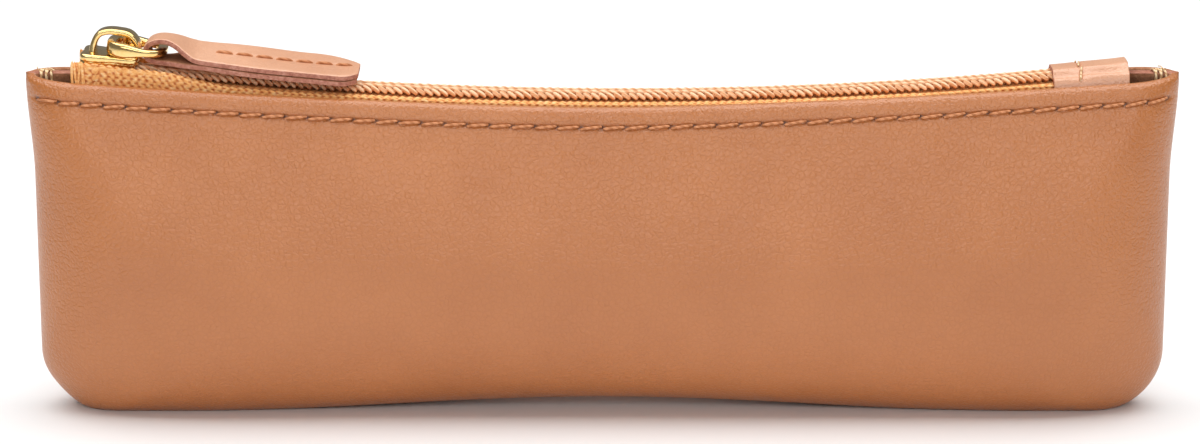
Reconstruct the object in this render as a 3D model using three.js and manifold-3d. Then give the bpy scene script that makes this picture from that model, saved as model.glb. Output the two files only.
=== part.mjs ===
// Zipped leather pen case: a slim unlined pouch that stands on its bottom seam.
// Millimetres. Origin at the centre of the base, +X along the case, +Z up, the front faces -Y.
// Two turned leather panels are sewn together round the ends and the bottom. A coil zip with
// a ring slider and a folded leather pull closes the mouth along a gently sagging arc.

import * as THREE from 'three';
import { mergeVertices } from 'three/addons/utils/BufferGeometryUtils.js';
import Module from 'manifold-3d';

const wasm = await Module();
wasm.setup();

// ---------- driving dimensions ----------

// Case
const HALF_LENGTH = 94;          // seam line to centre, below the mouth
const MOUTH_FLARE = 1;           // how far the seam line leans out at the mouth
const END_HEIGHT = 57;           // hem height at both ends
const HEM_SAG = 4.2;             // how far the hem dips at mid length
const CORNER_RADIUS = 11;        // bottom corners of the seam line
const SEAM_LIFT = 2.9;           // rise of the bottom seam between its two resting lengths
const SEAM_DROP = 0.9;           // how far the resting lengths are pressed flat
const REST_START = 72;           // where the bottom seam reaches its lowest
const HALF_SWELL = 14.35;        // half thickness at the fullest height
const HALF_MOUTH = 7.25;         // half thickness at the hem
const FULLEST = 0.5;             // height of the fullest line, as a share of the hem height
const EDGE_ROUNDING = 26;        // width over which the sewn edge rounds, at mid height
const MOUTH_ROUNDING = 9;        // the same at the mouth
const HALF_SEAM_GAP = 0.15;      // each panel stands this far from the middle plane
const LEATHER = 1.1;             // panel leather
const HEM_LEATHER = 1.9;         // turned hem, two skived layers
const HEM_DEPTH = 6;             // height of the turned hem
const ALLOWANCE = 8.4;           // width of the seam allowance inside the case

// Zip
const ZIP_RADIUS = 750;          // radius of the arc that the zip follows
const ZIP_CENTRE_X = 4;          // lowest point of that arc
const ZIP_LOW = 52.3;            // top face of the tape there
const ZIP_LEFT = -86.2;
const ZIP_RIGHT = 86.2;
const TAPE_PARTED = -83.3;       // left of here the tape halves stand apart
const TAPE_MET = -82;            // right of here they meet
const TAPE = 0.5;                // tape thickness
const TAPE_FLAT = 4.55;          // half width of the flat part of the tape
const TAPE_SEWN = 5.2;           // height of the tape's sewn edge behind the hem
const COIL_HEIGHT = 1.3;
const COIL_OUTER = 2.15;         // outer edge of the closed coil, from the middle plane
const COIL_TOOTH = 0.45;         // how far each tooth reaches past the middle plane
const COIL_PITCH = 6.25;         // tooth spacing of the drawn rail, five real coil turns
const COIL_START = -82.4;
const COIL_END = 84.5;
const SLIDER_X = -80.9;          // middle of the slider with the zip closed

// Slider, ring and pull, in the slider's own frame (along, across, above the tape)
const SLIDER_LEFT = -5;
const SLIDER_RIGHT = 4.6;
const SLIDER_WIDE = 4.3;
const SLIDER_NARROW = 3.6;
const PLATE_TOP = 3.2;
const PLATE_UNDER = 2;
const SOLE_TOP = -0.85;
const SOLE_UNDER = -1.75;
const SLIDER_WALL = 0.9;
const BRIDGE_TOP = 7.4;
const BRIDGE_WIDTH = 3.4;
const RING_HEIGHT = 4.5;         // middle of the ring above the tape
const RING_BACK = -0.2;          // bar in the bridge
const RING_TIP = 8.1;            // bar in the leather loop
const RING_HALF_WIDTH = 4.25;
const RING_BAR = 0.9;            // radius of both end bars
const STRAP = 0.85;              // pull leather, one layer
const STRAP_NECK = 5.9;
const STRAP_WIDTH = 11.6;
const STRAP_ROLL = THREE.MathUtils.degToRad(4);

// Thread
const THREAD_RADIUS = 0.22;
const HEM_STITCH = 3.7;          // stitch length along the hems
const HEM_STITCH_DROP = 3;       // stitch line below the hem's top edge

const LEATHER_LOOK = { color: 0xc4804f, roughness: 0.55, metalness: 0 };
const SUEDE_LOOK = { color: 0xd9a07c, roughness: 0.6, metalness: 0 };
const THREAD_LOOK = { color: 0xc98a5c, roughness: 0.8, metalness: 0 };
const PALE_THREAD_LOOK = { color: 0xeccf9f, roughness: 0.8, metalness: 0 };
const TAPE_LOOK = { color: 0xe0a163, roughness: 0.9, metalness: 0 };
const COIL_LOOK = { color: 0xdc9455, roughness: 0.45, metalness: 0 };
const BRASS_LOOK = { color: 0xe2b45a, roughness: 0.2, metalness: 1 };

// ---------- shape of the case ----------

const { smoothstep, lerp } = THREE.MathUtils;

function hemTop(x) {
  const share = Math.min(Math.abs(x) / (HALF_LENGTH + MOUTH_FLARE), 1);
  return END_HEIGHT - HEM_SAG * (1 - share ** 1.5);
}

function seamBottom(x) {
  const share = Math.min(Math.abs(x) / REST_START, 1);
  return SEAM_LIFT * Math.cos(share * Math.PI / 2) ** 2 - SEAM_DROP;
}

function seamSide(z) {
  return HALF_LENGTH + MOUTH_FLARE * smoothstep(z, END_HEIGHT - 17, END_HEIGHT);
}

// Distance inside the sewn outline. Its corner radius grows with depth, so the skin stays smooth.
function seamDepth(x, z) {
  const fromSide = seamSide(z) - Math.abs(x);
  const fromBottom = z - seamBottom(x);
  let low = 0;
  let high = Math.max(Math.min(fromSide, fromBottom), 0);
  for (let step = 0; step < 30; step += 1) {
    const depth = (low + high) / 2;
    const radius = CORNER_RADIUS + 0.8 * depth;
    const side = Math.max(depth + radius - fromSide, 0);
    const bottom = Math.max(depth + radius - fromBottom, 0);
    if (Math.hypot(side, bottom) > radius) high = depth;
    else low = depth;
  }
  return low;
}

// Outer face of a panel, measured from the middle plane.
function skin(x, z) {
  const share = z / hemTop(x);
  const closing = Math.max(share - FULLEST, 0) / (1 - FULLEST);
  const swell = lerp(HALF_SWELL, HALF_MOUTH, Math.min(closing, 1) ** 1.5);
  const rounding = lerp(EDGE_ROUNDING, MOUTH_ROUNDING, smoothstep(z, 28, END_HEIGHT - 2));
  const edge = 1 - Math.min(seamDepth(x, z) / rounding, 1);
  return HALF_SEAM_GAP + swell * Math.sqrt(1 - edge * edge);
}

function zipPath(x) {
  const across = x - ZIP_CENTRE_X;
  return ZIP_LOW + ZIP_RADIUS - Math.sqrt(ZIP_RADIUS ** 2 - across ** 2);
}

// ---------- mesh helpers ----------

function volume(positions, index) {
  let total = 0;
  const corner = (i) => new THREE.Vector3(...positions[i]);
  for (let i = 0; i < index.length; i += 3) {
    const [a, b, c] = [corner(index[i]), corner(index[i + 1]), corner(index[i + 2])];
    total += a.dot(b.cross(c));
  }
  return total / 6;
}

function closedGeometry(positions, index) {
  if (volume(positions, index) < 0) index.reverse();
  const geometry = new THREE.BufferGeometry();
  geometry.setAttribute('position', new THREE.Float32BufferAttribute(positions.flat(), 3));
  geometry.setIndex(index);
  return geometry;
}

function quad(index, a, b, c, d) {
  index.push(a, b, c, a, c, d);
}

// Joins rings of equal length into a solid. A row of rings is capped; a loop of rings is not.
function loft(rings, looped = false) {
  const size = rings[0].length;
  const index = [];
  const spans = looped ? rings.length : rings.length - 1;
  for (let r = 0; r < spans; r += 1) {
    const here = r * size;
    const next = ((r + 1) % rings.length) * size;
    for (let i = 0; i < size; i += 1) {
      const j = (i + 1) % size;
      quad(index, here + i, here + j, next + j, next + i);
    }
  }
  if (!looped) {
    addCap(index, rings[0], 0, true);
    addCap(index, rings.at(-1), (rings.length - 1) * size, false);
  }
  return closedGeometry(rings.flat(), index);
}

// Ring points lie in a plane across X, so the cap is cut from their Y and Z.
// The cutter always answers in one winding, so the ring's own winding decides how to turn it.
function addCap(index, ring, first, flipped) {
  const outline = ring.map(([, y, z]) => new THREE.Vector2(y, z));
  const reversed = THREE.ShapeUtils.isClockWise(outline);
  for (const [a, b, c] of THREE.ShapeUtils.triangulateShape(outline, [])) {
    const isBack = THREE.ShapeUtils.isClockWise([outline[a], outline[b], outline[c]]) !== reversed;
    if (flipped !== isBack) index.push(first + a, first + c, first + b);
    else index.push(first + a, first + b, first + c);
  }
}

function outlineShape(points) {
  return new THREE.Shape(points.map(([x, y]) => new THREE.Vector2(x, y)));
}

// A tube of round section along a smooth curve through the points.
function tube(points, radius, steps, sides = 6) {
  const section = [];
  for (let i = 0; i < sides; i += 1) {
    const turn = (i / sides) * Math.PI * 2;
    section.push([radius * Math.cos(turn), radius * Math.sin(turn)]);
  }
  const curve = new THREE.CatmullRomCurve3(points.map((p) => new THREE.Vector3(...p)));
  const options = { steps, bevelEnabled: false, extrudePath: curve };
  return new THREE.ExtrudeGeometry(outlineShape(section), options);
}

function toSolid(geometry) {
  const bare = geometry.clone();
  bare.deleteAttribute('normal');
  bare.deleteAttribute('uv');
  const merged = mergeVertices(bare);
  return new wasm.Manifold(new wasm.Mesh({
    numProp: 3,
    vertProperties: merged.attributes.position.array,
    triVerts: Uint32Array.from(merged.index.array),
  }));
}

function fromSolid(solid) {
  const mesh = solid.getMesh();
  const geometry = new THREE.BufferGeometry();
  geometry.setAttribute('position', new THREE.Float32BufferAttribute(mesh.vertProperties, 3));
  geometry.setIndex(Array.from(mesh.triVerts));
  return geometry;
}

function named(name, geometry, look) {
  const mesh = new THREE.Mesh(geometry, new THREE.MeshStandardMaterial(look));
  mesh.name = name;
  return mesh;
}

// ---------- leather panels ----------

const PANEL_COLUMNS = 36;
const LOWER_ROWS = [0, 0.008, 0.0185, 0.05, 0.14, 0.22, 0.32, 0.44, 0.57, 0.7, 0.85, 1];
const HEM_ROWS = [-HEM_DEPTH + 0.3, -0.5, 0];

function rowHeight(x, row) {
  const bottom = seamBottom(x);
  const hemStart = hemTop(x) - HEM_DEPTH;
  if (row < LOWER_ROWS.length) return lerp(bottom, hemStart, LOWER_ROWS[row]);
  return hemTop(x) + HEM_ROWS[row - LOWER_ROWS.length];
}

// In-plane place of a panel vertex. Columns crowd towards the ends, and the lowest rows follow the corners.
function panelPlace(column, row) {
  const share = Math.sin((column / PANEL_COLUMNS - 0.5) * Math.PI);
  let x = share * HALF_LENGTH;
  for (let step = 0; step < 4; step += 1) {
    const z = rowHeight(x, row);
    const rise = Math.max(CORNER_RADIUS - (z - seamBottom(x)), 0);
    const inset = CORNER_RADIUS - Math.sqrt(CORNER_RADIUS ** 2 - rise ** 2);
    x = share * (seamSide(z) - inset);
  }
  return [x, rowHeight(x, row)];
}

// Direction into the case, in the panel's plane, from a point on the seam line.
function inward(x, z) {
  const fromBottom = z - seamBottom(x);
  const cornerX = HALF_LENGTH - CORNER_RADIUS;
  if (fromBottom >= CORNER_RADIUS) return [-Math.sign(x), 0];
  if (Math.abs(x) <= cornerX) return [0, 1];
  const direction = new THREE.Vector2(cornerX - Math.abs(x), CORNER_RADIUS - fromBottom).normalize();
  return [Math.sign(x) * direction.x, direction.y];
}

function skinNormal(x, z) {
  const reach = 0.05;
  const slopeX = (skin(x + reach, z) - skin(x - reach, z)) / (2 * reach);
  const slopeZ = (skin(x, z + reach) - skin(x, z - reach)) / (2 * reach);
  return new THREE.Vector3(-slopeX, 1, -slopeZ).normalize();
}

function innerVertex(x, z, isHem, isRim) {
  const thickness = isHem ? HEM_LEATHER : LEATHER;
  if (isRim) {
    const [stepX, stepZ] = inward(x, z);
    const height = Math.max(z + stepZ * thickness, LEATHER);
    return [x + stepX * thickness, HALF_SEAM_GAP + LEATHER + 0.02, height];
  }
  const normal = skinNormal(x, z);
  if (isHem) normal.setZ(0).normalize();
  const height = Math.max(z - normal.z * thickness, LEATHER);
  return [x - normal.x * thickness, skin(x, z) - normal.y * thickness, height];
}

// A panel: rounded skin, turned hem, and the seam allowance folded in along the middle plane.
function panelGeometry(side) {
  const rows = LOWER_ROWS.length + HEM_ROWS.length - 1;
  const width = PANEL_COLUMNS + 1;
  const outer = [];
  const inner = [];
  for (let row = 0; row <= rows; row += 1) {
    const isHem = row >= LOWER_ROWS.length;
    const foldRound = row === rows ? 0.45 : 0;
    for (let column = 0; column <= PANEL_COLUMNS; column += 1) {
      const isRim = row === 0 || column === 0 || column === PANEL_COLUMNS;
      const [x, z] = panelPlace(column, row);
      const y = isRim ? HALF_SEAM_GAP : skin(x, z) - foldRound;
      outer.push([x, y, Math.max(z, 0)]);
      inner.push(innerVertex(x, z, isHem, isRim));
    }
  }
  const vertices = [...outer, ...inner];
  const index = [];
  const innerStart = outer.length;
  for (let row = 0; row < rows; row += 1) {
    for (let column = 0; column < PANEL_COLUMNS; column += 1) {
      const a = row * width + column;
      const b = a + 1;
      const c = b + width;
      const d = a + width;
      quad(index, a, b, c, d);
      quad(index, innerStart + a, innerStart + d, innerStart + c, innerStart + b);
    }
  }
  for (let column = 0; column < PANEL_COLUMNS; column += 1) {
    const a = rows * width + column;
    quad(index, a, a + 1, innerStart + a + 1, innerStart + a);
  }
  addAllowance(vertices, index, innerStart, rows);
  const placed = vertices.map(([x, y, z]) => [x, side * y, z]);
  return closedGeometry(placed, index);
}

// Vertex numbers along the seam line: down the left end, along the bottom, up the right end.
function rimLoop(rows) {
  const width = PANEL_COLUMNS + 1;
  const loop = [];
  for (let row = rows; row > 0; row -= 1) loop.push(row * width);
  for (let column = 0; column <= PANEL_COLUMNS; column += 1) loop.push(column);
  for (let row = 1; row <= rows; row += 1) loop.push(row * width + PANEL_COLUMNS);
  return loop;
}

function addAllowance(vertices, index, innerStart, rows) {
  const loop = rimLoop(rows);
  const start = vertices.length;
  for (const rim of loop) {
    const [x, , z] = vertices[rim];
    const [stepX, stepZ] = inward(x, z);
    const tip = [x + stepX * ALLOWANCE, z + stepZ * ALLOWANCE];
    vertices.push([tip[0], HALF_SEAM_GAP, tip[1]]);
    vertices.push([tip[0], HALF_SEAM_GAP + LEATHER, tip[1]]);
  }
  for (let i = 0; i < loop.length - 1; i += 1) {
    const [rim, nextRim] = [loop[i], loop[i + 1]];
    const [face, back] = [start + 2 * i, start + 2 * i + 1];
    quad(index, rim, face, face + 2, nextRim);
    quad(index, face, back, back + 2, face + 2);
    quad(index, back, innerStart + rim, innerStart + nextRim, back + 2);
  }
  const last = loop.length - 1;
  for (const [i, flipped] of [[0, false], [last, true]]) {
    const corners = [loop[i], innerStart + loop[i], start + 2 * i + 1, start + 2 * i];
    if (flipped) corners.reverse();
    quad(index, ...corners);
  }
}

// ---------- thread ----------

// A row of stitches on the outside of a hem: raised at mid stitch and drawn in at each hole.
function hemStitch(side) {
  const count = Math.round((2 * HALF_LENGTH - 6) / HEM_STITCH);
  const start = -count * HEM_STITCH / 2;
  const points = [];
  for (let i = 0; i <= count * 2; i += 1) {
    const x = start + i * HEM_STITCH / 2;
    const z = hemTop(x) - HEM_STITCH_DROP;
    const lift = THREAD_RADIUS + (i % 2 ? 0.35 : 0.2);
    const normal = skinNormal(x, z);
    const y = skin(x, z) + lift * normal.y;
    points.push([x + lift * normal.x, side * y, z + lift * normal.z]);
  }
  return tube(points, THREAD_RADIUS, count * 2, 4);
}

// The closing seam, drawn on the front allowance just inside the seam line.
function seamStitch() {
  const inset = 3.6;
  const y = -(HALF_SEAM_GAP + LEATHER + THREAD_RADIUS + 0.15);
  const points = [];
  const sideX = HALF_LENGTH - inset;
  const radius = CORNER_RADIUS - inset;
  const low = Math.max(inset - SEAM_DROP, 2.4);
  for (const z of [53, 43, 33, 23, 14]) points.push([-sideX, y, z]);
  points.push([-sideX + radius * 0.3, y, low + radius * 0.3]);
  for (let x = -80; x <= 80; x += 20) points.push([x, y, Math.max(seamBottom(x), 0) + low]);
  points.push([sideX - radius * 0.3, y, low + radius * 0.3]);
  for (const z of [14, 23, 33, 43, 53]) points.push([sideX, y, z]);
  return tube(points, THREAD_RADIUS, 90, 4);
}

// Three turns of thread over the top of both seam allowances.
function seamTack(end) {
  const half = HALF_SEAM_GAP + LEATHER + 0.4;
  const top = END_HEIGHT + 0.35;
  const foot = END_HEIGHT - 1.5;
  const points = [];
  for (let turn = 0; turn < 3; turn += 1) {
    const x = end * (HALF_LENGTH - 2.9 + 0.6 * turn);
    const way = turn % 2 ? 1 : -1;
    points.push([x, way * half, foot]);
    points.push([x, way * half, top - 0.2]);
    points.push([x, 0, top + 0.1]);
    points.push([x, -way * half, top - 0.2]);
    points.push([x, -way * half, foot]);
  }
  return tube(points, THREAD_RADIUS, 36, 4);
}

// ---------- zip ----------

const TAPE_STATIONS = 34;

// The tape halves part round the slider's post at the closed end.
function tapeInnerEdge(x) {
  return lerp(1.35, 0.2, smoothstep(x, TAPE_PARTED, TAPE_MET));
}

// Half of the zip tape: flat beside the coil, then turned down behind the hem.
function tapeGeometry(side) {
  const stations = [ZIP_LEFT, TAPE_PARTED];
  for (let i = 0; i <= TAPE_STATIONS; i += 1) stations.push(lerp(TAPE_MET, ZIP_RIGHT, i / TAPE_STATIONS));
  const rings = [];
  for (const x of stations) {
    const top = zipPath(x);
    const hem = hemTop(x);
    const sewnZ = hem - TAPE_SEWN;
    const bendZ = Math.min(top - 0.8, hem - 0.6);
    const clear = HEM_LEATHER + 0.35;
    const bendY = Math.min(skin(x, bendZ) - clear, 5.25);
    const sewnY = skin(x, sewnZ) - clear;
    rings.push([
      [x, tapeInnerEdge(x), top],
      [x, 2.7, top],
      [x, TAPE_FLAT, top],
      [x, bendY, bendZ],
      [x, sewnY, sewnZ],
      [x, sewnY - TAPE, sewnZ],
      [x, bendY - TAPE, bendZ - 0.15],
      [x, TAPE_FLAT - 0.25, top - TAPE],
      [x, 2.7, top - TAPE],
      [x, tapeInnerEdge(x), top - TAPE],
    ].map(([a, b, c]) => [a, side * b, c]));
  }
  return loft(rings);
}

// Half of the coil as a toothed rail with a groove below for its filler cord.
// The two rails share one tooth line, so they mesh with a small gap.
function coilGeometry(side) {
  const count = Math.floor((COIL_END - COIL_START) / COIL_PITCH);
  const phase = side > 0 ? 0.5 : 0;
  const rings = [];
  for (let i = 0; i < count; i += 1) {
    const edges = [[0.06, -1], [0.19, 1], [0.31, 1], [0.44, -1]];
    for (const [share, reach] of edges) {
      const x = COIL_START + (i + share + phase) * COIL_PITCH;
      const base = zipPath(x) + 0.06;
      const tip = -reach * COIL_TOOTH;
      rings.push([
        [x, tip, base + COIL_HEIGHT / 2],
        [x, 0.75, base + COIL_HEIGHT],
        [x, COIL_OUTER - 0.3, base + COIL_HEIGHT],
        [x, COIL_OUTER, base],
        [x, 1.65, base],
        [x, 1.2, base + 0.8],
        [x, 0.75, base],
      ].map(([a, b, c]) => [a, side * b, c]));
    }
  }
  return loft(rings);
}

// The filler cord lies along the groove of its rail.
function coreCord(side) {
  const points = [];
  for (let i = 0; i <= 12; i += 1) {
    const x = lerp(COIL_START + 2, COIL_END - 2, i / 12);
    points.push([x, side * 1.2, zipPath(x) + 0.3]);
  }
  return tube(points, 0.16, 30, 4);
}

// One row of chain stitch that holds a coil to its tape, drawn on top of the rail up to the end tab.
function coilStitch(side) {
  const pitch = COIL_PITCH / 2;
  const count = Math.floor((END_TAB_LEFT - COIL_START - 3) / (pitch * 2));
  const points = [];
  for (let i = 0; i <= count * 2; i += 1) {
    const x = COIL_START + 2 + i * pitch;
    const swing = i % 2 ? 0.15 : -0.15;
    points.push([x, side * (1.3 + swing), zipPath(x) + COIL_HEIGHT + 0.36]);
  }
  return tube(points, 0.2, count * 2, 4);
}

// ---------- slider, ring and pull ----------

function sliderOutline(margin) {
  const wide = SLIDER_WIDE - margin;
  const narrow = SLIDER_NARROW - margin;
  const half = [
    [SLIDER_RIGHT, narrow - 1],
    [SLIDER_RIGHT - 0.3, narrow - 0.3],
    [SLIDER_RIGHT - 1, narrow],
    [1, narrow + 0.1],
    [-2, wide - 0.1],
    [SLIDER_LEFT + 1.2, wide],
    [SLIDER_LEFT + 0.35, wide - 0.4],
    [SLIDER_LEFT, wide - 1.3],
  ];
  const mirrored = half.map(([x, y]) => [x, -y]).reverse();
  return [...half, ...mirrored];
}

function slab(outline, low, high) {
  const geometry = new THREE.ExtrudeGeometry(outlineShape(outline), { depth: high - low, bevelEnabled: false });
  return geometry.translate(0, 0, low);
}

// Top plate with side walls, sole plate, and the post that parts the two coils.
function sliderBody() {
  const plate = toSolid(slab(sliderOutline(0), PLATE_UNDER - 1.7, PLATE_TOP));
  const channel = toSolid(slab(sliderOutline(SLIDER_WALL), PLATE_UNDER - 3, PLATE_UNDER));
  const through = toSolid(new THREE.BoxGeometry(14, 5.2, 4).translate(0, 0, PLATE_UNDER - 2));
  const sole = toSolid(slab(sliderOutline(0.15), SOLE_UNDER, SOLE_TOP));
  const post = toSolid(new THREE.BoxGeometry(1.9, 1.7, 3.4).translate(SLIDER_LEFT + 1.3, 0, 0.6));
  return fromSolid(plate.subtract(channel).subtract(through).add(sole).add(post));
}

// The bridge over the ring's bar: an arch open from side to side.
function sliderBridge() {
  const foot = PLATE_TOP + 0.3;
  const shape = new THREE.Shape();
  shape.moveTo(-3.9, foot);
  shape.lineTo(-3.9, foot + 1.1);
  shape.quadraticCurveTo(-3.7, BRIDGE_TOP, -1.2, BRIDGE_TOP);
  shape.lineTo(1.3, BRIDGE_TOP);
  shape.quadraticCurveTo(3.5, BRIDGE_TOP - 0.1, 3.9, foot);
  shape.lineTo(2.6, foot);
  shape.quadraticCurveTo(2.2, BRIDGE_TOP - 1.2, 0.9, BRIDGE_TOP - 1.2);
  shape.lineTo(-1, BRIDGE_TOP - 1.2);
  shape.quadraticCurveTo(-2.6, BRIDGE_TOP - 1.2, -2.7, foot);
  const options = { depth: BRIDGE_WIDTH, bevelEnabled: false, curveSegments: 6 };
  const arch = new THREE.ExtrudeGeometry(shape, options).translate(0, 0, -BRIDGE_WIDTH / 2);
  return arch.rotateX(Math.PI / 2);
}

// A pointed oval ring, thicker on its two arms than at the end bars.
function pullRing() {
  const stations = 32;
  const sides = 8;
  const centre = (RING_TIP + RING_BACK) / 2;
  const halfLength = (RING_TIP - RING_BACK) / 2;
  const power = 2 / 3;
  const rings = [];
  for (let i = 0; i < stations; i += 1) {
    const turn = (i / stations) * Math.PI * 2;
    const [c, s] = [Math.cos(turn), Math.sin(turn)];
    const along = centre + halfLength * Math.sign(c) * Math.abs(c) ** power;
    const across = RING_HALF_WIDTH * Math.sign(s) * Math.abs(s) ** power;
    const arm = smoothstep(Math.abs(s), 0.5, 0.95) * smoothstep(-along, -6.5, -4.5);
    const halfHeight = RING_BAR + 0.2 * arm;
    const outwards = new THREE.Vector2(c, s).normalize();
    const ring = [];
    for (let k = 0; k < sides; k += 1) {
      const angle = ((k + 0.5) / sides) * Math.PI * 2;
      const out = 0.82 * Math.cos(angle);
      const up = halfHeight * Math.sin(angle);
      ring.push([along + outwards.x * out, across + outwards.y * out, RING_HEIGHT + up]);
    }
    rings.push(ring);
  }
  return loft(rings, true);
}

// The pull is one strap folded round the ring's tip, so its middle line runs out below, round and back above.
const STRAP_UNDER = [[40.4, 4.03], [39.6, 4.01], [37.5, 3.92], [30, 3.72], [20, 3.8], [14.5, 3.85], [11.5, 3.3]];
const STRAP_LOOP = [[9, 2.97], [7.2, 2.97], [6, 3.4], [5.55, 4.5], [5.95, 5.6], [7.2, 6.3], [8.8, 6.45]];
const STRAP_OVER = [[10.5, 6.1], [12.5, 5.25], [14.5, 4.77], [20, 4.73], [30, 4.65], [37.5, 4.84], [39.6, 4.93], [40.6, 4.95]];

function strapWidth(along) {
  const neck = lerp(STRAP_NECK, STRAP_WIDTH - 1, smoothstep(along, 8.5, 15));
  const full = neck + smoothstep(along, 15, 28);
  return full - 3.4 * smoothstep(along, 37, 40.8) ** 2;
}

function strapDrop(along, across) {
  return across * Math.tan(STRAP_ROLL) * smoothstep(along, 9, 15);
}

// Rings across the strap's middle line; their corners are half a layer either side of it.
function pullTab() {
  const line = [...STRAP_UNDER, ...STRAP_LOOP, ...STRAP_OVER].map(([a, n]) => new THREE.Vector2(a, n));
  const positions = [];
  line.forEach((point, i) => {
    const before = line[Math.max(i - 1, 0)];
    const after = line[Math.min(i + 1, line.length - 1)];
    const along = after.clone().sub(before).normalize();
    const half = strapWidth(point.x) / 2;
    for (const [across, face] of [[-half, -1], [half, -1], [half, 1], [-half, 1]]) {
      const x = point.x - along.y * face * STRAP / 2;
      const z = point.y + along.x * face * STRAP / 2;
      positions.push([x, across, z + strapDrop(point.x, across)]);
    }
  });
  const index = [];
  for (let i = 0; i < line.length - 1; i += 1) {
    for (let k = 0; k < 4; k += 1) {
      const here = i * 4 + k;
      const next = i * 4 + ((k + 1) % 4);
      quad(index, here, next, next + 4, here + 4);
    }
  }
  const last = (line.length - 1) * 4;
  quad(index, 3, 2, 1, 0);
  quad(index, last, last + 1, last + 2, last + 3);
  return closedGeometry(positions, index);
}

// The single row of stitches down the middle of the pull.
function pullStitch() {
  const pitch = 3.3;
  const points = [];
  for (let i = 0; i <= 13; i += 1) {
    const along = 16.6 + i * pitch / 2;
    const top = lerp(4.76, 4.47, (along - 16.6) / 21.5) + STRAP / 2;
    points.push([along, 0, top + THREAD_RADIUS + (i % 2 ? 0.4 : 0.33)]);
  }
  return tube(points, THREAD_RADIUS, 26, 5);
}

// ---------- end tab ----------

const END_TAB_LEFT = 73.9;
const END_TAB_RIGHT = 86.2;
const END_TAB_LEATHER = 0.9;
const END_TAB_STITCH = 78.4;

// How much thinner the end tab is: in the groove its stitch lies in, and where its first edge is skived.
function endTabThinning(x) {
  if (Math.abs(x - END_TAB_STITCH) < 0.4) return 0.5;
  return 0.35 * Math.max((END_TAB_STITCH - 0.6 - x) / (END_TAB_STITCH - 0.6 - END_TAB_LEFT), 0);
}

// Half section of the end tab's upper face, from the middle plane down beside the hem.
function endTabTop(x) {
  const zip = zipPath(x);
  const chain = zip + COIL_HEIGHT + 0.1 + END_TAB_LEATHER;
  const side = zip + 0.35 + END_TAB_LEATHER;
  return [[0, chain], [2.3, chain - 0.05], [3.3, chain - 0.9], [3.9, side], [4.75, side - 0.1]];
}

function mirroredSection(half) {
  return [...half.slice(1).map(([y, z]) => [-y, z]).reverse(), ...half];
}

function endTab() {
  const stations = [END_TAB_LEFT, 76, END_TAB_STITCH - 0.6, END_TAB_STITCH - 0.3];
  stations.push(END_TAB_STITCH + 0.3, END_TAB_STITCH + 0.6, 82, END_TAB_RIGHT);
  const rings = stations.map((x) => {
    const top = mirroredSection(endTabTop(x));
    const upper = top.map(([y, z]) => [y, z - endTabThinning(x)]);
    const lower = top.map(([y, z]) => [y * 0.98, z - END_TAB_LEATHER]).reverse();
    return [...upper, ...lower].map(([y, z]) => [x, y, z]);
  });
  return loft(rings);
}

function endTabStitch() {
  const x = END_TAB_STITCH;
  const lift = 0.34 - endTabThinning(x);
  const points = mirroredSection(endTabTop(x)).map(([y, z]) => [x, y, z + lift]);
  return tube(points, THREAD_RADIUS, 24, 5);
}

// ---------- assembly ----------

function addCase(group) {
  for (const [word, side] of [['front', -1], ['back', 1]]) {
    group.add(named(`${word}_panel`, panelGeometry(side), LEATHER_LOOK));
    group.add(named(`${word}_hem_stitch`, hemStitch(side), THREAD_LOOK));
  }
  group.add(named('seam_stitch', seamStitch(), THREAD_LOOK));
  group.add(named('left_seam_tack', seamTack(-1), PALE_THREAD_LOOK));
  group.add(named('right_seam_tack', seamTack(1), PALE_THREAD_LOOK));
  group.add(named('end_tab', endTab(), SUEDE_LOOK));
  group.add(named('end_tab_stitch', endTabStitch(), PALE_THREAD_LOOK));
}

function addZip(group) {
  for (const [word, side] of [['front', -1], ['back', 1]]) {
    group.add(named(`${word}_tape`, tapeGeometry(side), TAPE_LOOK));
    group.add(named(`${word}_coil`, coilGeometry(side), COIL_LOOK));
    group.add(named(`${word}_core_cord`, coreCord(side), THREAD_LOOK));
    group.add(named(`${word}_coil_stitch`, coilStitch(side), TAPE_LOOK));
  }
}

// The slider's frame sits on the zip's arc and leans with it.
function sliderGroup() {
  const group = new THREE.Group();
  group.position.set(SLIDER_X, 0, zipPath(SLIDER_X));
  group.rotation.y = -Math.asin((SLIDER_X - ZIP_CENTRE_X) / ZIP_RADIUS);
  group.add(named('slider_body', sliderBody(), BRASS_LOOK));
  group.add(named('slider_bridge', sliderBridge(), BRASS_LOOK));
  group.add(named('pull_ring', pullRing(), BRASS_LOOK));
  group.add(named('pull_tab', pullTab(), SUEDE_LOOK));
  group.add(named('pull_tab_stitch', pullStitch(), THREAD_LOOK));
  return group;
}

const penCase = new THREE.Group();
addCase(penCase);
addZip(penCase);
penCase.add(sliderGroup());

export default penCase;
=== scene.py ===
"""Zipped leather pen case: looks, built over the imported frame.

Lengths in this script are millimetres until solid() turns them into metres.
+X runs along the case towards the end tab, the front faces -Y and +Z is up.
"""
import math

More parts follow.
